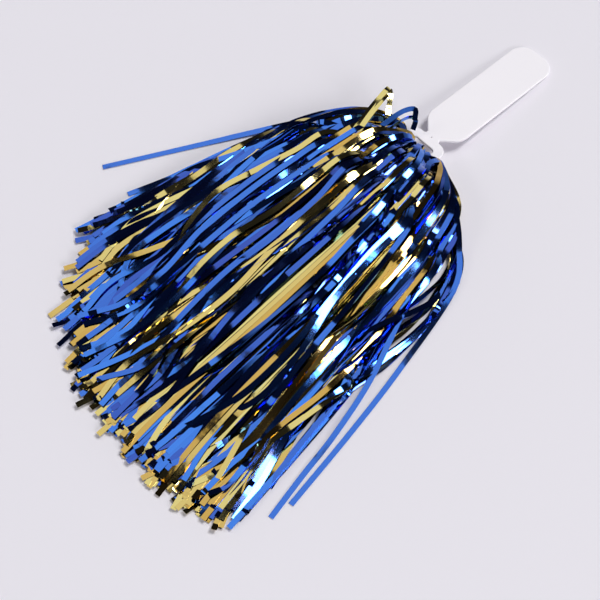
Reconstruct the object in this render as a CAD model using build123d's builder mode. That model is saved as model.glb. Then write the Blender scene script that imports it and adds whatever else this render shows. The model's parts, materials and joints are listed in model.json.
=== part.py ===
from build123d import *
from math import cos, radians, sin
import os

# Cheer pom pom: a moulded paddle handle with an oval ring, and a skirt of foil
# streamers that is folded over the ring's far bar and lies on a flat surface.
# +X runs along the handle towards the paddle's end, +Z is up, and the origin is
# the middle of the bounding box at the height of that surface.

# ---- Driving dimensions, mm --------------------------------------------------

# Where the handle's neck stands in the frame, which centres the bounding box.
neck_x = 103.1
neck_y = -10.1

# Paddle handle, in its own plane: distances along the axis are from the neck.
handle_tilt = 5.0          # degrees that the paddle slopes down from the ring
handle_thickness = 2.6
handle_width = 35.0
blade_end = 119.8
blade_corner = 13.0
shoulder_start = 2.5
shoulder_end = 14.0
shoulder_radius = 14.0
neck_half_width = 6.2
neck_notch_radius = 1.6
ring_width = 34.0
ring_length = 25.5
ring_corner = 8.0
near_bar = 7.5
far_bar = 6.0
ring_hole_width = 20.0
ring_hole_corner = 3.0
pin_hole_radius = 0.6
edge_radius = 0.8

# The bundle where the streamers fold over the far bar, and its binding.
sleeve_clearance = 0.25
sleeve_radius = 10.0
sleeve_length = 16.0
bundle_front = 27.0        # behind the neck
bundle_back = 50.6
bundle_width = 30.0
bundle_height = 24.0
bundle_lift = 13.2         # height of the bundle's middle
binding_place = 41.0
binding_width = 6.0
binding_thickness = 1.2
binding_clearance = 0.05

# The gathered head of the skirt is part of a ball, cut off flat below and above.
hub_behind = 30.0          # the ball's centre, behind the neck
ply_height = 9.0           # the level where the two plies of streamers meet
hub_radius = 38.0
hub_crest = 40.0
hub_side = 18.1            # the ring and the blade swing between the side lobes
hub_front = 26.5
hub_cavity_height = 26.8
hub_cavity_back = 51.0

# The skirt's plan: half width = gain * behind ** power, and a curved hem.
gain_left, power_left = 20.6, 0.325
gain_right, power_right = 22.0, 0.283
hem_reach = 321.0
hem_skew = 0.216
hem_curve = 0.00256
# Degrees from +X, round the ball, where the side hanks begin. The front ply is lifted
# and spread, so it keeps behind the ball's middle even when spread by 25 degrees.
front_side_ray = 117.0
back_side_ray = 80.0
skirt_crest = 38.0
skirt_hem_height = 17.0
edge_crest_drop = 14.0
edge_hem_drop = 5.0
gap = 0.3                  # between neighbouring soft pieces
front_share = 0.125        # width of one front hank, as a share of the half width
back_share = 0.2

# Single streamers that lie beside the skirt.
streamer_width = 4.0
stray_thickness = 0.4
stray_lift = 0.2

os.makedirs("parts", exist_ok=True)

hub_clear_radius = hub_radius + 2 * gap
hub_x = neck_x - hub_behind
bar_behind = ring_length - far_bar / 2
tilt = radians(handle_tilt)
neck_height = handle_thickness * cos(tilt) + blade_end * sin(tilt)
handle_plane = Plane(
    origin=(neck_x, neck_y, neck_height),
    x_dir=(cos(tilt), 0, -sin(tilt)),
    z_dir=(sin(tilt), 0, cos(tilt)),
)
bar_axis = handle_plane.from_local_coords((-bar_behind, 0, -handle_thickness / 2))


def save(piece, name):
    """Label a finished piece and write its STEP file."""
    piece.part.label = name
    export_step(piece.part, f"parts/{name}.step")


# ---- Paddle handle -----------------------------------------------------------

with BuildPart() as paddle_handle:
    with BuildSketch(handle_plane) as outline:
        with BuildLine() as blade_edge:
            upper = Polyline(
                (0, neck_half_width),
                (shoulder_start, neck_half_width),
                (shoulder_end, handle_width / 2),
                (blade_end, handle_width / 2),
                (blade_end, 0),
            )
            mirror(upper, about=Plane.XZ)
            Line((0, neck_half_width), (0, -neck_half_width))
        make_face()
        corners = outline.vertices()
        fillet(corners.group_by(Axis.X)[-1], blade_corner)
        shoulders = outline.vertices().filter_by(
            lambda v: abs(v.X - shoulder_end) < 1e-3
        )
        fillet(shoulders, shoulder_radius)
        with Locations((-ring_length / 2, 0)):
            RectangleRounded(ring_length, ring_width, ring_corner)
        notches = outline.vertices().filter_by(
            lambda v: abs(v.X) < 1e-3 and abs(abs(v.Y) - neck_half_width) < 1e-3
        )
        fillet(notches, neck_notch_radius)
        hole_length = ring_length - near_bar - far_bar
        with Locations((-near_bar - hole_length / 2, 0)):
            RectangleRounded(
                hole_length, ring_hole_width, ring_hole_corner, mode=Mode.SUBTRACT
            )
        Circle(pin_hole_radius, mode=Mode.SUBTRACT)
    extrude(amount=-handle_thickness)
    rims = paddle_handle.faces().filter_by(handle_plane).edges()
    wide_rims = rims.filter_by(lambda e: e.length > 10 * pin_hole_radius)
    fillet(wide_rims, edge_radius)
save(paddle_handle, "paddle_handle")

# ---- Folded bundle and binding -----------------------------------------------

bar_radius = (far_bar**2 + handle_thickness**2) ** 0.5 / 2
bundle_plane = Plane(
    origin=(neck_x - bundle_front, neck_y, bundle_lift), x_dir=(0, 1, 0), z_dir=(-1, 0, 0)
)
sleeve_plane = Plane(
    origin=(bar_axis.X, neck_y - sleeve_length / 2, bar_axis.Z),
    x_dir=(1, 0, 0),
    z_dir=(0, 1, 0),
)

with BuildPart() as folded_bundle:
    with BuildSketch(bundle_plane):
        Ellipse(bundle_width / 2, bundle_height / 2)
    extrude(amount=bundle_back - bundle_front)
    with BuildSketch(sleeve_plane):
        Circle(sleeve_radius)
    extrude(amount=sleeve_length)
    with BuildSketch(sleeve_plane):
        Circle(bar_radius + sleeve_clearance)
    extrude(amount=sleeve_length, mode=Mode.SUBTRACT)
save(folded_bundle, "folded_bundle")

binding_start = binding_place - binding_width / 2 - bundle_front
with BuildPart() as binding_tie:
    with BuildSketch(bundle_plane.offset(binding_start)):
        Ellipse(
            bundle_width / 2 + binding_thickness, bundle_height / 2 + binding_thickness
        )
        Ellipse(
            bundle_width / 2 + binding_clearance,
            bundle_height / 2 + binding_clearance,
            mode=Mode.SUBTRACT,
        )
    extrude(amount=binding_width)
save(binding_tie, "binding_tie")

# ---- Gathered head of the skirt ----------------------------------------------

block = 4 * hub_radius


def hub_ball():
    """The ball of gathered streamers, flat below and above, inside a BuildPart."""
    with Locations((hub_x, neck_y, ply_height)):
        Sphere(hub_radius)
    with Locations((hub_x, neck_y, 0)):
        Box(
            block,
            block,
            hub_crest,
            align=(Align.CENTER, Align.CENTER, Align.MIN),
            mode=Mode.INTERSECT,
        )


with BuildPart() as crown_folds:
    hub_ball()
    with Locations((neck_x - hub_front, neck_y, 0)):
        Box(
            block,
            2 * hub_side - 2 * gap,
            block,
            align=(Align.MAX, Align.CENTER, Align.CENTER),
            mode=Mode.INTERSECT,
        )
    with Locations((neck_x - hub_cavity_back, neck_y, 0)):
        Box(
            block,
            block,
            hub_cavity_height,
            align=(Align.MIN, Align.CENTER, Align.MIN),
            mode=Mode.SUBTRACT,
        )
save(crown_folds, "crown_folds")

for name, side in (("left_fold_lobe", 1), ("right_fold_lobe", -1)):
    with BuildPart() as lobe:
        hub_ball()
        with Locations((hub_x, neck_y + side * hub_side, 0)):
            Box(
                block,
                block,
                block,
                align=(
                    Align.CENTER,
                    Align.MIN if side > 0 else Align.MAX,
                    Align.CENTER,
                ),
                mode=Mode.INTERSECT,
            )
    save(lobe, name)

# ---- Hanks of streamers ------------------------------------------------------


def half_width(behind, share):
    """Half width of the skirt at a distance behind the neck, on the share's side."""
    if share > 0:
        return gain_left * behind**power_left
    return gain_right * behind**power_right


def hem_behind(y):
    """How far behind the neck the hem lies, y to the left of the neck."""
    return hem_reach - hem_skew * y - hem_curve * y * y


def settle(step, first, last):
    """The value between first and last where step changes sign, by halving."""
    for _ in range(40):
        middle = (first + last) / 2
        if step(middle) < 0:
            first = middle
        else:
            last = middle
    return (first + last) / 2


def start_behind(share, side_ray):
    """Where a line of streamers leaves the ball, or the ray of the side hanks."""

    def beyond(behind):
        y = abs(share) * half_width(behind, share)
        back = behind - hub_behind
        outside_ball = (back**2 + y**2) ** 0.5 - hub_clear_radius
        past_ray = back + y * cos(radians(side_ray)) / sin(radians(side_ray))
        return min(outside_ball, past_ray) if back > -hub_behind / 2 else -1

    return settle(beyond, hub_behind / 2, 3 * hub_behind)


def end_behind(share):
    """Where a line of streamers reaches the hem."""

    def beyond(behind):
        y = share * half_width(behind, share)
        return behind - hem_behind(y)

    return settle(beyond, hub_behind, 2 * hem_reach)


def flow_line(share, side_ray):
    """Plan points of the line of streamers at this share of the half width."""
    start, end = start_behind(share, side_ray), end_behind(share)
    points = []
    for step in (0, 0.12, 0.35, 0.65, 1):
        behind = start + (end - start) * step
        y = share * half_width(behind, share)
        points.append((neck_x - behind, neck_y + y))
    return points


def starts_on_ray(share, side_ray):
    """Whether a line of streamers begins on the ray, away from the ball."""
    behind = start_behind(share, side_ray)
    y = share * half_width(behind, share)
    return (behind - hub_behind) ** 2 + y**2 > (hub_clear_radius + gap) ** 2


def hank_outline(inner, outer, side_ray):
    """Plan of the hank between two lines of streamers, inner nearer the middle."""
    outline = flow_line(inner, side_ray) + flow_line(outer, side_ray)[::-1]
    if starts_on_ray(outer, side_ray) and not starts_on_ray(inner, side_ray):
        side = 1 if outer > 0 else -1
        ray = radians(side_ray)
        outline.append(
            (
                hub_x + hub_clear_radius * cos(ray),
                neck_y + side * hub_clear_radius * sin(ray),
            )
        )
    return outline


def save_hank(name, inner, outer, side_ray, bottom, crest, hem_height):
    """Write one hank: upright sides, a sloping top, and a round end at the ball."""
    fall = crest - hem_height
    run = hem_reach - hub_behind - hub_radius
    top = Plane(
        origin=(hub_x - hub_radius, neck_y, crest), x_dir=(0, 1, 0), z_dir=(-fall, 0, run)
    )
    with BuildPart() as hank:
        with BuildSketch(Plane.XY.offset(bottom)):
            with BuildLine():
                Polyline(*hank_outline(inner, outer, side_ray), close=True)
            make_face()
            offset(amount=-gap / 2, kind=Kind.INTERSECTION)
        extrude(amount=2 * crest)
        split(bisect_by=top, keep=Keep.BOTTOM)
        with Locations((hub_x, neck_y, 0)):
            Cylinder(hub_clear_radius, block, mode=Mode.SUBTRACT)
    save(hank, name)


def shares(width):
    """Edges of the hanks from the right side, -1, to the left side, 1."""
    count = round(2 / width)
    return [-1 + width * i for i in range(count + 1)]


def colour(index):
    """Three hanks in five are blue, and the rest gold."""
    return "gold" if index % 5 in (1, 3) else "blue"


for ply, width in (("front", front_share), ("back", back_share)):
    edges = shares(width)
    for index, (low, high) in enumerate(zip(edges, edges[1:])):
        inner, outer = (low, high) if low + high > 0 else (high, low)
        middle = (low + high) / 2
        if ply == "front":
            side_ray = front_side_ray
            bottom = ply_height + gap
            crest = skirt_crest - edge_crest_drop * middle**2
            hem_height = skirt_hem_height - edge_hem_drop * middle**2
        else:
            side_ray = back_side_ray
            bottom = 0
            crest = ply_height - gap
            hem_height = crest
        hank_name = f"{ply}_hank_{index + 1:02d}_{colour(index)}"
        save_hank(hank_name, inner, outer, side_ray, bottom, crest, hem_height)

# ---- Stray streamers ---------------------------------------------------------

# Plan points of each stray from the skirt's edge to its tip: distance behind the
# neck, and distance to the left of it.
strays = {
    "left_stray_long": [(72, 90), (83, 97), (122, 119), (187, 154)],
    "left_stray_short": [(150, 111), (168, 116), (189, 123.5)],
    "right_stray_outer": [(50, -79), (77, -98), (148, -113.5), (206, -124), (270, -133.5)],
    "right_stray_inner": [(262, -119), (274, -124), (286, -129)],
}

for name, route in strays.items():
    with BuildPart() as stray:
        with BuildSketch(Plane.XY.offset(stray_lift)):
            with BuildLine() as path:
                Spline(*[(neck_x - behind, neck_y + y) for behind, y in route])
            trace(path.line, streamer_width)
        extrude(amount=stray_thickness)
    save(stray, name)
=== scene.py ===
import json
import math

import bpy
import numpy as np
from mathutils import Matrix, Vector

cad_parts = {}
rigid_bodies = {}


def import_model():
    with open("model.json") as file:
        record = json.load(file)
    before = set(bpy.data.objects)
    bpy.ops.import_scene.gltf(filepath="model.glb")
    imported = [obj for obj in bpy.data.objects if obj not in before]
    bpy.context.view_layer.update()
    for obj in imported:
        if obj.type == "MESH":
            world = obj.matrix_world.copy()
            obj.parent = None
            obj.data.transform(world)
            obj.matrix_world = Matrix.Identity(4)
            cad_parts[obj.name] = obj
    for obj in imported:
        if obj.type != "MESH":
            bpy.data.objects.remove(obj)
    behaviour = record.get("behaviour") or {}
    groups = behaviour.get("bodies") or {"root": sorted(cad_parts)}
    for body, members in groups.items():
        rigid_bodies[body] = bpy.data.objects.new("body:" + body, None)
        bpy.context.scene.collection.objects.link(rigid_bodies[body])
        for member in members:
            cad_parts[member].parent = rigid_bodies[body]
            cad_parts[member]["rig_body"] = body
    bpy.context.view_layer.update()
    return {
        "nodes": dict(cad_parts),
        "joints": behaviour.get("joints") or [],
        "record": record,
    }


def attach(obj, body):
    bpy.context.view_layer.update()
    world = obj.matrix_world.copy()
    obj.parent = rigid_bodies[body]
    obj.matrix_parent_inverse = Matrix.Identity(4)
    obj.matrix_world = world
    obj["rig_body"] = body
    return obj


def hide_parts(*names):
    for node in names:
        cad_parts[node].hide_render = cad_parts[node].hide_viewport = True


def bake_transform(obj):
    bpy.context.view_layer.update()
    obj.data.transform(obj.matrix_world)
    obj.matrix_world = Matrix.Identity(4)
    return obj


# A foil cheer pom pom: a white paddle handle, and hundreds of flat blue and gold
# foil streamers that fold over the handle's ring and fan out on a pale floor.
# Lengths are in metres. Each streamer follows a line of the skirt, which is given
# by a share of the skirt's half width (-1 right side, 1 left side), and by how far
# behind the handle's neck it has come.

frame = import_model()

MM = 0.001
mounts = {mount["name"]: mount for mount in frame["record"]["mounts"]}
joints = {joint["name"]: joint for joint in frame["joints"]}
NECK = Vector(mounts["neck_pin_hole"]["pos_m"])
BAR = Vector(joints["skirt_swing"]["pos_m"])

# ---- The skirt's shape, mm, as the CAD part has it -----------------------------

GAIN_LEFT, POWER_LEFT = 20.6, 0.325
GAIN_RIGHT, POWER_RIGHT = 22.0, 0.283
HEM_REACH, HEM_SKEW, HEM_CURVE = 321.0, 0.216, 0.00256
STREAMER_WIDTH = 4.0
FILM_THICKNESS = 0.12
FLOOR_CLEARANCE = 0.12
CREST_BEHIND = [0, 18, 40, 80, 130, 190, 250, 300, 330]
CREST_HEIGHT = [24, 33, 37.5, 37, 32, 25, 16, 8.5, 6]
CREST_SIDE_DROP, CREST_SIDE_POWER = 0.62, 3.2


def half_width(behind, share):
    """Half width of the skirt, mm, at a distance behind the neck."""
    left = GAIN_LEFT * behind**POWER_LEFT
    right = GAIN_RIGHT * behind**POWER_RIGHT
    return np.where(share > 0, left, right)


def hem_behind(share):
    """How far behind the neck the hem lies on a line of streamers."""
    behind = np.full_like(share, HEM_REACH)
    for _ in range(12):
        y = share * half_width(behind, share)
        behind = HEM_REACH - HEM_SKEW * y - HEM_CURVE * y * y
    return behind


def crest(behind, share):
    """Height of the heap's top: high at the ring, falling away to the hem."""
    along = np.interp(behind, CREST_BEHIND, CREST_HEIGHT)
    side = np.clip(np.abs(share), 0, 1.15)
    return along * (1 - CREST_SIDE_DROP * side**CREST_SIDE_POWER)


# ---- Ribbons -------------------------------------------------------------------


def smooth_noise(rng, count, steps, waves):
    """Smooth random lines from -1 to 1, one for each streamer."""
    t = np.linspace(0, 1, steps)[None, :]
    total = np.zeros((count, steps))
    for _ in range(3):
        turns = rng.uniform(0.35, 1, (count, 1)) * waves
        phase = rng.uniform(0, 2 * math.pi, (count, 1))
        total += rng.uniform(0.3, 1, (count, 1)) * np.sin(2 * math.pi * turns * t + phase)
    return total / 1.8


def kinked_noise(rng, count, steps, knots):
    """Random broken lines from -1 to 1, and which steps are their corners."""
    lines = np.zeros((count, steps))
    corners = np.zeros((count, steps), bool)
    for i in range(count):
        inner = np.sort(rng.choice(np.arange(2, steps - 2), knots, replace=False))
        where = np.concatenate(([0], inner, [steps - 1]))
        lines[i] = np.interp(np.arange(steps), where, rng.uniform(-1, 1, len(where)))
        corners[i, inner] = True
    return lines, corners


def resample(path, steps):
    """Evenly spaced points along each path of shape (streamers, points, 3)."""
    out = np.zeros((path.shape[0], steps, 3))
    for i, line in enumerate(path):
        run = np.concatenate(([0], np.cumsum(np.linalg.norm(np.diff(line, axis=0), axis=1))))
        t = np.linspace(0, run[-1], steps)
        for axis in range(3):
            out[i, :, axis] = np.interp(t, run, line[:, axis])
    return out


def spline(controls, points):
    """Catmull-Rom curves through control points of shape (streamers, controls, 3)."""
    first = 2 * controls[:, :1] - controls[:, 1:2]
    last = 2 * controls[:, -1:] - controls[:, -2:-1]
    c = np.concatenate((first, controls, last), axis=1)
    spans = controls.shape[1] - 1
    parts = []
    for k in range(spans):
        t = np.linspace(0, 1, points, endpoint=k == spans - 1)[None, :, None]
        p0, p1, p2, p3 = (c[:, k + j : k + j + 1] for j in range(4))
        parts.append(
            0.5
            * (
                2 * p1
                + (p2 - p0) * t
                + (2 * p0 - 5 * p1 + 4 * p2 - p3) * t**2
                + (3 * p1 - p0 - 3 * p2 + p3) * t**3
            )
        )
    return np.concatenate(parts, axis=1)


rng_tone = np.random.default_rng(5)


def seed_of(name, offset):
    """A seed that depends only on a piece's name."""
    return sum(ord(ch) * (i + offset) for i, ch in enumerate(name))


def unit(v):
    return v / np.maximum(np.linalg.norm(v, axis=-1, keepdims=True), 1e-9)


def side_vectors(path):
    """The direction across each streamer, level at its tip and carried along it."""
    tangent = unit(np.gradient(path, axis=1))
    side = np.zeros_like(path)
    up = np.array([0.0, 0.0, 1.0])
    side[:, -1] = unit(np.cross(tangent[:, -1], up))
    for i in range(path.shape[1] - 2, -1, -1):
        s = side[:, i + 1]
        t = tangent[:, i]
        side[:, i] = unit(s - np.sum(s * t, axis=1, keepdims=True) * t)
    return tangent, side


def ribbons(name, path, roll, creases, tone=None):
    """One mesh of thin closed ribbons. Path is in mm from the point on the floor
    below the neck, +x behind it; roll is in radians; creases are hard cross folds;
    tone, from 0 to 1, is the same tint for all of them."""
    count, steps, _ = path.shape
    tangent, side = side_vectors(path)
    normal = np.cross(side, tangent)
    normal *= np.where(normal[:, -1:, 2:3] < 0, -1, 1)
    c, s = np.cos(roll)[..., None], np.sin(roll)[..., None]
    across = c * side + s * normal
    out = c * normal - s * side
    half = STREAMER_WIDTH / 2
    left, right = path + across * half, path - across * half
    thick = out * FILM_THICKNESS / 2
    rings = np.stack((left + thick, right + thick, right - thick, left - thick), axis=2)
    low = FLOOR_CLEARANCE + np.array([FILM_THICKNESS, FILM_THICKNESS, 0, 0])
    rings[..., 2] = np.maximum(rings[..., 2], low)
    world = np.empty_like(rings)
    world[..., 0] = NECK.x - rings[..., 0] * MM
    world[..., 1] = NECK.y + rings[..., 1] * MM
    world[..., 2] = rings[..., 2] * MM
    index = np.arange(count * steps * 4).reshape(count, steps, 4)
    a, b = index[:, :-1], index[:, 1:]
    quads = [
        np.stack((a[..., k], b[..., k], b[..., (k + 1) % 4], a[..., (k + 1) % 4]), axis=-1)
        for k in range(4)
    ]
    sides = np.stack(quads, axis=2).reshape(-1, 4)
    starts = index[:, 0]
    ends = index[:, -1, ::-1]
    faces = np.concatenate((sides, starts, ends))
    mesh = bpy.data.meshes.new(name)
    mesh.from_pydata(world.reshape(-1, 3), [], faces.tolist())
    # +x runs against the frame's X axis, so the faces are turned to look outwards
    mesh.flip_normals()
    mesh.polygons.foreach_set("use_smooth", np.ones(len(mesh.polygons), bool))
    mark_creases(mesh, creases, steps)
    shade = rng_tone.uniform(0, 1, count) if tone is None else np.full(count, tone)
    attribute = mesh.attributes.new("shade", "FLOAT", "POINT")
    attribute.data.foreach_set("value", np.repeat(shade, steps * 4).astype(np.float32))
    piece = bpy.data.objects.new(name, mesh)
    bpy.context.scene.collection.objects.link(piece)
    return piece


def mark_creases(mesh, creases, steps):
    """Long edges, cut ends and cross folds are sharp; the rest is shaded smooth."""
    pairs = np.zeros(len(mesh.edges) * 2, np.int32)
    mesh.edges.foreach_get("vertices", pairs)
    a, b = pairs[0::2], pairs[1::2]
    step_a, step_b = (a // 4) % steps, (b // 4) % steps
    along = step_a != step_b
    at_end = (step_a == 0) | (step_a == steps - 1)
    folded = creases[a // (4 * steps), step_a]
    sharp = along | (~along & (at_end | folded))
    attribute = mesh.attributes.new("sharp_edge", "BOOLEAN", "EDGE")
    attribute.data.foreach_set("value", sharp)



# ---- Materials -----------------------------------------------------------------


def new_material(name):
    material = bpy.data.materials.new(name)
    material.use_nodes = True
    nodes, links = material.node_tree.nodes, material.node_tree.links
    return material, nodes, links, nodes["Principled BSDF"]


FOIL_ROUGHNESS, COAT_ROUGHNESS = 0.07, 0.08
FOIL_WAVE_SCALE, FOIL_WAVE_STRENGTH, FOIL_WAVE_DEPTH = 80.0, 0.13, 0.0008


def foil_material(name, deep, bright, edge):
    """Metallised film: a mirror tinted by its lacquer, a clear gloss over it, and a
    slightly different tint from one streamer to the next."""
    material, nodes, links, shader = new_material(name)
    shader.inputs["Metallic"].default_value = 1.0
    shader.inputs["Roughness"].default_value = FOIL_ROUGHNESS
    shader.inputs["Specular Tint"].default_value = (*edge, 1)
    shader.inputs["Coat Weight"].default_value = 1.0
    shader.inputs["Coat Roughness"].default_value = COAT_ROUGHNESS
    shade = nodes.new("ShaderNodeAttribute")
    shade.attribute_name = "shade"
    ramp = nodes.new("ShaderNodeValToRGB")
    ramp.color_ramp.elements[0].color = (*deep, 1)
    ramp.color_ramp.elements[1].color = (*bright, 1)
    links.new(shade.outputs["Fac"], ramp.inputs["Fac"])
    links.new(ramp.outputs["Color"], shader.inputs["Base Color"])
    place = nodes.new("ShaderNodeTexCoord")
    waves = nodes.new("ShaderNodeTexNoise")
    waves.inputs["Scale"].default_value = FOIL_WAVE_SCALE
    waves.inputs["Detail"].default_value = 2.0
    bump = nodes.new("ShaderNodeBump")
    bump.inputs["Strength"].default_value = FOIL_WAVE_STRENGTH
    bump.inputs["Distance"].default_value = FOIL_WAVE_DEPTH
    links.new(place.outputs["Object"], waves.inputs["Vector"])
    links.new(waves.outputs["Fac"], bump.inputs["Height"])
    links.new(bump.outputs["Normal"], shader.inputs["Normal"])
    return material


def plastic_material(name, colour, roughness, grain):
    """Moulded plastic with a fine satin grain and a faint unevenness."""
    material, nodes, links, shader = new_material(name)
    shader.inputs["Base Color"].default_value = (*colour, 1)
    shader.inputs["Subsurface Weight"].default_value = 0.15
    shader.inputs["Subsurface Radius"].default_value = (0.004, 0.004, 0.004)
    place = nodes.new("ShaderNodeTexCoord")
    fine = nodes.new("ShaderNodeTexNoise")
    fine.inputs["Scale"].default_value = grain
    fine.inputs["Detail"].default_value = 4.0
    spread = nodes.new("ShaderNodeMapRange")
    spread.inputs["To Min"].default_value = roughness - 0.06
    spread.inputs["To Max"].default_value = roughness + 0.06
    bump = nodes.new("ShaderNodeBump")
    bump.inputs["Strength"].default_value = 0.08
    bump.inputs["Distance"].default_value = 0.0002
    links.new(place.outputs["Object"], fine.inputs["Vector"])
    links.new(fine.outputs["Fac"], spread.inputs["Value"])
    links.new(spread.outputs["Result"], shader.inputs["Roughness"])
    links.new(fine.outputs["Fac"], bump.inputs["Height"])
    links.new(bump.outputs["Normal"], shader.inputs["Normal"])
    return material


FOILS = {
    "blue": foil_material(
        "blue_foil", (0.008, 0.055, 0.40), (0.022, 0.185, 0.73), (0.6, 0.75, 1.0)
    ),
    "gold": foil_material(
        "gold_foil", (0.52, 0.32, 0.05), (0.65, 0.56, 0.19), (1.0, 0.95, 0.7)
    ),
}
HANDLE_PLASTIC = plastic_material("white_plastic", (0.99, 0.955, 1.0), 0.34, 900)
TAPE = plastic_material("binding_tape", (0.83, 0.83, 0.85), 0.55, 500)


def finish_foil(piece, colour, node=None):
    """Gives a piece its foil, and hides the CAD solid that it stands in for."""
    piece.data.materials.append(FOILS[colour])
    if node:
        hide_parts(node)


# ---- The long streamers of each hank ---------------------------------------------

LONG_STEPS = 66
LONG_START = 34.5  # behind the neck, inside the head
GATHER_DEPTH = 15  # how much lower the topmost streamers start than they lie
CLUMP_SIZE = 4
SHEET_SHARE = 0.4  # of the clumps: these lie side by side like one sheet
SHEET_STEP = 0.033
SHORT_SHARE, SHORT_BY = 0.16, (10, 42)
HALF_TURN_SHARE = 0.5
# the part's hem reaches further than the streamers do at its left corner
LEFT_CORNER_TRIM = 24.0
LEVELS = {"front": (0.3, 1.0), "back": (0.0, 0.5)}
HANK_WIDTH = {"front": 0.125, "back": 0.2}
TIP_BEND = 1.8


def hank_slice(node):
    """A hank's ply, the share at the middle of its slice, and the slice's width."""
    ply, _, number, _ = node.split("_")
    width = HANK_WIDTH[ply]
    return ply, -1 + width * (int(number) - 0.5), width


def clump_of(count, clumps):
    """Which clump each streamer belongs to."""
    return np.arange(count) * clumps // count


STATIONS = np.array([0.0, 0.05, 0.14, 0.27, 0.42, 0.58, 0.74, 0.88, 1.0])[None, :]


def fall_path(rng, line, level, end, first, gather_depth, loose=1.0):
    """Streamer paths that leave the head at first and come to rest at the hem. Loose
    is 1 for streamers that lie on their own and 0 for those that lie like a sheet."""
    count = len(line)
    behind = first + (end[:, None] - first) * STATIONS
    y = line * half_width(behind, line)
    # the gathered start lies inside the head, and spreads to its line from there
    gather = np.clip(1 - STATIONS * 7, 0, 1)
    y *= 1 - 0.5 * gather
    own = smooth_noise(rng, count, behind.shape[1], 2.2) * 1.2
    z = 0.6 + level[:, None] * crest(behind, line) + own * loose
    z -= gather * gather_depth * level[:, None]
    settle = np.clip((STATIONS - 0.72) / 0.28, 0, 1)
    rest = rng.uniform(0, 2.0, (count, 1)) * loose + 1.8 * level[:, None] * (1 - loose)
    z = np.maximum(z * (1 - 0.35 * settle) + rest * settle, 0.5)
    return resample(spline(np.stack((behind, y, z), axis=-1), 14), LONG_STEPS)


def crumple(rng, path, knots, sideways, upwards):
    """Adds the small kinks of creased film, and gives where the creases are."""
    count, steps, _ = path.shape
    kinks, corners = kinked_noise(rng, count, steps, knots)
    lift, more = kinked_noise(rng, count, steps, knots)
    path[..., 1] += kinks * sideways
    path[..., 2] += lift * upwards
    return corners | more


def bend_tips(rng, path, creases):
    """Turns the last few millimetres of about a third of the streamers up or aside."""
    count = len(path)
    bent = rng.random(count) < 0.35
    reach = rng.integers(1, 3, count)
    rise = np.where(bent, rng.uniform(-0.4, 1.0, count), 0)
    aside = np.where(bent, rng.uniform(-0.5, 0.5, count), 0)
    for back in (1, 2):
        keep = (reach >= back) * (reach - back + 1)
        path[:, -back, 2] += rise * keep * TIP_BEND
        path[:, -back, 1] += aside * keep * TIP_BEND
    creases[np.arange(count), -1 - reach] |= bent


def rolls(rng, count, steps, base, wave, kink, flip_share):
    """How far each streamer is rolled about its length, with a few half turns."""
    roll = rng.normal(0, base, (count, 1)) + smooth_noise(rng, count, steps, 1.8) * wave
    roll += kinked_noise(rng, count, steps, 5)[0] * kink
    return roll + half_turns(rng, count, steps, flip_share)


def half_turns(rng, count, steps, flip_share):
    """A quick half turn at a random place in a share of the streamers."""
    flips = rng.random(count) < flip_share
    where = rng.uniform(0.12, 0.85, (count, 1))
    t = np.linspace(0, 1, steps)[None, :]
    turn = math.pi / (1 + np.exp(-(t - where) / rng.uniform(0.012, 0.06, (count, 1))))
    return np.where(flips[:, None], turn * rng.choice((-1, 1), (count, 1)), 0)


def long_streamers(name, node, rng, count, reach):
    """Streamers of one hank, in clumps that cross. Some clumps lie like one sheet.
    Reach is how far past the hem they end, mm."""
    ply, middle, width = hank_slice(node)
    clumps = max(2, round(count / CLUMP_SIZE))
    clump = clump_of(count, clumps)
    loose = (rng.random(clumps) > SHEET_SHARE).astype(float)[clump]
    place = np.arange(count) - np.array([np.flatnonzero(clump == c).mean() for c in clump])
    share = middle + rng.normal(0, 0.62 * width, clumps)[clump]
    share += place * SHEET_STEP * (1 - loose) + rng.normal(0, 0.02, count) * loose
    share = np.clip(share, -1.02, 1.0)
    drift = rng.normal(0, 0.17, clumps)[clump] + rng.normal(0, 0.04, count) * loose
    stations = STATIONS.shape[1]
    shared = smooth_noise(rng, clumps, stations, 1.7)[clump]
    own = smooth_noise(rng, count, stations, 2.5) * loose[:, None]
    wander = 0.085 * shared + 0.055 * own
    line = share[:, None] + drift[:, None] * (STATIONS - 0.45) + wander * (0.2 + STATIONS)
    line = np.clip(line, -1.06, 0.93 + 0.07 * STATIONS + rng.normal(0, 0.015, (count, 1)))
    low, high = LEVELS[ply]
    sheet_level = rng.uniform(low, high - 0.1, clumps)[clump] + 0.05 + place * 0.014
    level = np.where(loose > 0, rng.uniform(low, high, count), sheet_level)
    end = hem_behind(share) + reach + rng.normal(0, 5.0, count)
    end -= LEFT_CORNER_TRIM * np.clip((share - 0.3) / 0.55, 0, 1)
    short = rng.random(count) < SHORT_SHARE
    end -= np.where(short, rng.uniform(*SHORT_BY, count), 0)
    soft = loose[:, None]
    path = fall_path(rng, line, level, end, LONG_START, GATHER_DEPTH, soft)
    creases = crumple(rng, path, 4, 0.3 + 0.7 * soft, 0.2 + 0.6 * soft)
    bend_tips(rng, path, creases)
    own_roll = rolls(rng, count, LONG_STEPS, 0.2, 0.42, 0.18, 0.0)
    shared_roll = rolls(rng, clumps, LONG_STEPS, 0.2, 0.42, 0.12, 0.0)[clump]
    roll = own_roll * soft + shared_roll * (1 - soft)
    # the lower ends lie flat
    roll *= np.interp(np.linspace(0, 1, LONG_STEPS), [0, 0.6, 0.9, 1], [1, 1, 0.3, 0.3])
    roll += half_turns(rng, count, LONG_STEPS, HALF_TURN_SHARE) * soft
    return ribbons(name, path, roll, creases)


BEND_START, BEND_END = 34.0, 68.0


def bend_onto(piece):
    """Bakes the piece's placement into its mesh, and leaves it on no body."""
    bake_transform(piece)


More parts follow.
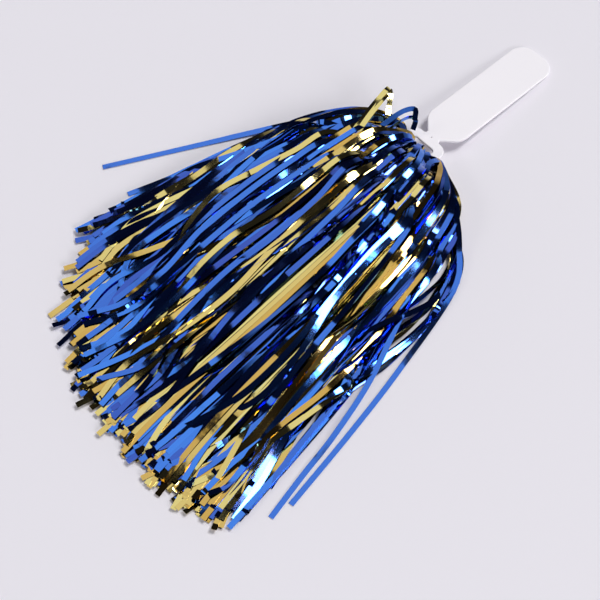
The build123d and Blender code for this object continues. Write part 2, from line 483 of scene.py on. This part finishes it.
def move_with_hank(piece, node):
    body = frame["nodes"][node]["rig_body"]
    if body == "skirt_back":
        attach(piece, body)
    else:
        bend_onto(piece)


OWN_COUNT = {
    ("front", "blue"): 22,
    ("front", "gold"): 17,
    ("back", "blue"): 20,
    ("back", "gold"): 18,
}
INLAY_COUNT = {"blue": 6, "gold": 11}
REACH = {"blue": -10.0, "gold": -5.0}
OTHER = {"blue": "gold", "gold": "blue"}

for node in sorted(frame["nodes"]):
    if "_hank_" not in node:
        continue
    rng = np.random.default_rng(1000 + seed_of(node, 3))
    colour, ply = node.split("_")[-1], node.split("_")[0]
    count = OWN_COUNT[ply, colour]
    piece = long_streamers(node + "_streamers", node, rng, count, REACH[colour])
    finish_foil(piece, colour, node)
    move_with_hank(piece, node)
    # a few streamers of the other colour run through every hank
    other = OTHER[colour]
    inlay = long_streamers(node + "_inlay", node, rng, INLAY_COUNT[colour], REACH[other])
    finish_foil(inlay, other)
    move_with_hank(inlay, node)

# ---- Loose streamers that hang away from the skirt's right side ---------------------


def loose_right(name, count, rng):
    """Wavy streamers that leave the head and lie just outside the right side."""
    outward = rng.uniform(1.02, 1.28, count)
    tuck = rng.uniform(0.12, 0.32, (count, 1))
    bulge = 1 - tuck * np.clip((STATIONS - 0.4) / 0.6, 0, 1)
    line = -(1 + (outward[:, None] - 1) * np.clip(STATIONS * 5, 0, 1)) * bulge
    waves = smooth_noise(rng, count, STATIONS.shape[1], 2.6) * 0.022
    line += waves * np.clip(STATIONS * 4, 0, 1)
    end = rng.uniform(150, 262, count)
    path = fall_path(rng, line, rng.uniform(0.3, 1.3, count), end, 26.0, 0)
    creases = crumple(rng, path, 4, 0.7, 0.6)
    roll = rolls(rng, count, LONG_STEPS, 0.2, 0.5, 0.15, 0.4)
    return ribbons(name, path, roll, creases)


for seed, colour, count in ((41, "blue", 8), (42, "gold", 2)):
    loose = loose_right(f"loose_right_{colour}_streamers", count, np.random.default_rng(seed))
    finish_foil(loose, colour)
    bend_onto(loose)

# ---- The head: folds over the ring and down beside it ------------------------------

HEAD_STEPS = 40


def head_streamers(name, count, rng, ring_side, beside, reach, shares, levels, rise):
    """Streamers that rise from the ring, turn back and dive into the skirt. They turn
    at ring_side behind the neck and go out to beside; reach is how far back they run."""
    share = np.linspace(*shares, count) + rng.normal(0, 0.025, count)
    level = rng.uniform(*levels, count)
    side = np.sign(share)
    size = np.abs(share)
    tail = rng.uniform(*reach, count)
    points = []

    def add(behind, y, z):
        behind = np.broadcast_to(behind, count)
        points.append(np.stack((behind, y, np.broadcast_to(z, count)), axis=-1))

    def add_on_heap(behind, height):
        """A point on the streamer's own line, at a share of the heap's height."""
        at = np.broadcast_to(np.asarray(behind, float), count)
        add(at, half_width(at, share) * share, crest(at, share) * height)

    apex = rng.uniform(*rise, count) * (1 - 0.5 * size**2)
    forward = ring_side + rng.normal(0, 0.9, count) + 4 * (1 - size)
    out_beside = side * np.where(size > 0.42, beside + 9 * size, 24 * size)
    add(19 + rng.uniform(-2, 3, count), share * 11, 13 + 3 * level)
    add(forward, out_beside, apex * (0.5 + 0.25 * level))
    near = np.full(count, 22.0)
    add(forward + 10, half_width(near, share) * share * 0.9, apex * (0.4 + 0.6 * level))
    add_on_heap(38, 0.3 + 0.7 * level)
    add_on_heap(58, 0.99 * (0.3 + 0.7 * level))
    add_on_heap(tail, 0.93 * (0.3 + 0.7 * level))
    add_on_heap(tail + 16, 0.5 * level)
    path = resample(spline(np.stack(points, axis=1), 12), HEAD_STEPS)
    kinks, corners = kinked_noise(rng, count, HEAD_STEPS, 5)
    path[..., 1] += kinks * 0.8
    path[..., 2] += kinked_noise(rng, count, HEAD_STEPS, 5)[0] * 0.5
    roll = rng.normal(0, 0.12, (count, 1)) + smooth_noise(rng, count, HEAD_STEPS, 1.4) * 0.3
    return ribbons(name, path, roll, corners)


# where the folds over the ring bend between the handle and the skirt, behind the neck
GOLD_PART_OF_HEAD = 0.5
HEAD_PIECES = {
    "crown_folds": {
        "node": "crown_folds", "count": 36, "ring_side": 13.5, "beside": 17,
        "reach": (66, 100), "shares": (-0.5, 0.5), "levels": (0.55, 1.0), "rise": (26, 37),
    },
    "left_fold": {
        "node": "left_fold_lobe", "count": 34, "ring_side": 9.0, "beside": 17,
        "reach": (70, 110), "shares": (0.42, 1.0), "levels": (0.15, 1.0), "rise": (20, 34),
    },
    "right_fold": {
        "node": "right_fold_lobe", "count": 32, "ring_side": 13.0, "beside": 13,
        "reach": (70, 110), "shares": (-1.0, -0.42), "levels": (0.15, 1.0), "rise": (20, 32),
    },
}


def head_piece(fold, colour, part, node, count, **shape):
    name = f"{fold}_{colour}_streamers"
    rng = np.random.default_rng(seed_of(name, 7))
    piece = head_streamers(name, rng=rng, count=round(count * part), **shape)
    finish_foil(piece, colour, node)
    if fold == "crown_folds":
        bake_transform(piece)
    else:
        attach(piece, "skirt_back")


for colour, part in (("blue", 1.0), ("gold", GOLD_PART_OF_HEAD)):
    for fold, shape in HEAD_PIECES.items():
        head_piece(fold, colour, part, **shape)

# ---- The loops round the far bar, inside the head ----------------------------------

LOOP_STEPS, LOOP_COUNT = 30, 14
LOOP_END = 46.0  # behind the neck


def bar_loops(name, count, rng):
    """Streamers that come up through the ring's opening and round its far bar."""
    behind_bar = (NECK.x - BAR.x) / MM
    height_bar = BAR.z / MM
    y = rng.uniform(-7, 7, count)
    reach = rng.uniform(4.6, 8.5, count)
    points = []

    def add(behind, across, z):
        points.append(np.stack((np.broadcast_to(behind, count), across, z), axis=-1))

    add(LOOP_END, y * 1.3, height_bar - reach)
    for angle in np.linspace(-0.5 * math.pi, 0.5 * math.pi, 7):
        add(behind_bar - reach * math.cos(angle), y, height_bar + reach * math.sin(angle))
    add(LOOP_END, y * 1.3, height_bar + reach)
    path = resample(spline(np.stack(points, axis=1), 8), LOOP_STEPS)
    flat = np.zeros((count, LOOP_STEPS))
    return ribbons(name, path, flat, flat.astype(bool))


for seed, colour in ((31, "blue"), (32, "gold")):
    name = f"folded_bundle_{colour}_streamers"
    loops = bar_loops(name, LOOP_COUNT, np.random.default_rng(seed))
    finish_foil(loops, colour, "folded_bundle")
    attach(loops, "skirt_back")

# ---- Stray streamers and ears ------------------------------------------------------

# routes in mm: behind the neck, to its left, and up
STRAYS = {
    "left_stray_long": [(46, 66, 16), (62, 81, 9), (83, 97, 3), (122, 119, 0.8), (187, 154, 0.6)],
    "left_stray_short": [(110, 92, 9), (135, 105, 4), (160, 113.5, 0.9), (189, 123.5, 0.6)],
    "right_stray_outer": [
        (34, -24, 25), (28, -40, 21), (35, -58, 14), (51, -77.5, 7), (77, -97, 3),
        (148, -113.5, 0.9), (206, -124, 0.7), (270, -133.5, 0.6),
    ],
    "right_stray_inner": [
        (120, -88, 12), (170, -107, 6), (215, -118, 2), (250, -124, 0.9), (286, -131, 0.6),
    ],
}


STRAY_STEPS, EAR_STEPS = 40, 26


def single_ribbon(name, points, steps, rng, roll_size=0.12, lean=0.0, tone=0.6):
    """One streamer along a route. Lean turns its face about its length, radians."""
    controls = np.array(points, float)[None]
    path = resample(spline(controls, 14), steps)
    kinks, corners = kinked_noise(rng, 1, steps, 3)
    path[..., 2] += np.abs(kinks) * 0.25
    roll = lean + smooth_noise(rng, 1, steps, 1.4) * roll_size
    return ribbons(name, path, roll, corners, tone=tone)


for seed, (node, route) in enumerate(STRAYS.items()):
    rng = np.random.default_rng(60 + seed)
    stray = single_ribbon(node + "_streamer", route, STRAY_STEPS, rng)
    finish_foil(stray, "blue", node)
    body = frame["nodes"][node]["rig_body"]
    if route[0][0] < BEND_END:
        bend_onto(stray)
    else:
        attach(stray, body)

EARS = {
    "gold_ear": (
        "gold", [(52, 33, 33), (30, 38, 35), (14, 40.5, 36.5), (5, 41.5, 37), (3, 41, 35)],
    ),
    "gold_ear_beside": (
        "gold", [(54, 29, 34), (32, 34.5, 35.5), (17, 37.5, 36), (9, 39, 35.5), (7, 38.5, 33)],
    ),
    "gold_ear_back": ("gold", [(4, 41, 35.5), (6, 38, 34), (12, 33, 32), (20, 27, 29)]),
    "blue_ear": ("blue", [(28, 25, 29), (14, 24, 30), (5, 22, 30), (0, 18, 29.5), (5, 13.5, 26)]),
    "blue_ear_under": (
        "blue", [(28, 21, 26), (14, 19.5, 27), (6, 17, 27), (4, 13.5, 25), (9, 11, 20)],
    ),
}
EAR_LEAN = {"gold": -0.3, "blue": 0.12}
EAR_ROLL, EAR_TONE = 0.08, 0.9

for seed, (name, (colour, route)) in enumerate(EARS.items()):
    rng = np.random.default_rng(80 + seed)
    ear = single_ribbon(name, route, EAR_STEPS, rng, EAR_ROLL, EAR_LEAN[colour], EAR_TONE)
    finish_foil(ear, colour)
    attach(ear, "skirt_back")

# ---- CAD pieces that stay ------------------------------------------------------------


def give_material(node, material):
    mesh = frame["nodes"][node].data
    mesh.materials.clear()
    mesh.materials.append(material)


give_material("paddle_handle", HANDLE_PLASTIC)
give_material("binding_tie", TAPE)

# ---- Floor, light and camera ---------------------------------------------------------


FLOOR_SIZE = 12
FLOOR_COLOUR = (0.86, 0.835, 0.89)


def floor_material():
    material, _, _, shader = new_material("pale_floor")
    shader.inputs["Base Color"].default_value = (*FLOOR_COLOUR, 1)
    shader.inputs["Roughness"].default_value = 0.6
    return material


bpy.ops.mesh.primitive_plane_add(size=FLOOR_SIZE, location=(0, 0, 0))
floor = bpy.context.object
floor.name = "floor"
floor.data.materials.append(floor_material())

# azimuth from +X, elevation and spread in degrees, and strength in W/m2; flat film
# mirrors the far light to the camera, and the others show as glints
LIGHTS = {
    "far_soft_light": (61, 66, 31, 0.24),
    "key_soft_light": (-25, 64, 21, 1.8),
    "left_soft_light": (137, 40, 14, 0.25),
    "right_soft_light": (-100, 35, 25, 0.95),
}
ROOM_LOW, ROOM_HIGH = (0.75, 0.74, 0.8), (0.014, 0.014, 0.02)
ROOM_DARK_FROM, ROOM_STRENGTH = 0.5, 1.2


def soft_light(name, azimuth, elevation, spread, strength):
    """An even soft light from far away."""
    a, e = math.radians(azimuth), math.radians(elevation)
    away = Vector((math.cos(a) * math.cos(e), math.sin(a) * math.cos(e), math.sin(e)))
    data = bpy.data.lights.new(name, "SUN")
    data.angle = math.radians(spread)
    data.energy = strength
    light = bpy.data.objects.new(name, data)
    light.location = away * 2.0
    light.rotation_euler = (-away).to_track_quat("-Z", "Y").to_euler()
    bpy.context.scene.collection.objects.link(light)


def studio_world():
    """A dim room: pale low down, dark above, so that the foil has both to mirror."""
    world = bpy.data.worlds.new("studio")
    bpy.context.scene.world = world
    world.use_nodes = True
    nodes, links = world.node_tree.nodes, world.node_tree.links
    place = nodes.new("ShaderNodeTexCoord")
    split = nodes.new("ShaderNodeSeparateXYZ")
    ramp = nodes.new("ShaderNodeValToRGB")
    ramp.color_ramp.elements[0].position = 0.0
    ramp.color_ramp.elements[0].color = (*ROOM_LOW, 1)
    ramp.color_ramp.elements[1].position = ROOM_DARK_FROM
    ramp.color_ramp.elements[1].color = (*ROOM_HIGH, 1)
    links.new(place.outputs["Generated"], split.inputs["Vector"])
    links.new(split.outputs["Z"], ramp.inputs["Fac"])
    links.new(ramp.outputs["Color"], nodes["Background"].inputs["Color"])
    nodes["Background"].inputs["Strength"].default_value = ROOM_STRENGTH


studio_world()
for name, setting in LIGHTS.items():
    soft_light(name, *setting)

CAMERA_FROM_NECK = Vector((-0.55285, -0.43741, 1.04852))
LOOK_FROM_NECK = Vector((-0.15893, -0.02629, 0.0))
LENS, SENSOR_WIDTH = 101.6, 36.0  # mm
camera_data = bpy.data.cameras.new("camera")
camera_data.lens = LENS
camera_data.sensor_width = SENSOR_WIDTH
camera = bpy.data.objects.new("camera", camera_data)
floor_neck = Vector((NECK.x, NECK.y, 0))
camera.location = floor_neck + CAMERA_FROM_NECK
looking = LOOK_FROM_NECK - CAMERA_FROM_NECK
camera.rotation_euler = looking.to_track_quat("-Z", "Y").to_euler()
bpy.context.scene.collection.objects.link(camera)
bpy.context.scene.camera = camera
bpy.context.scene.view_settings.view_transform = "Standard"
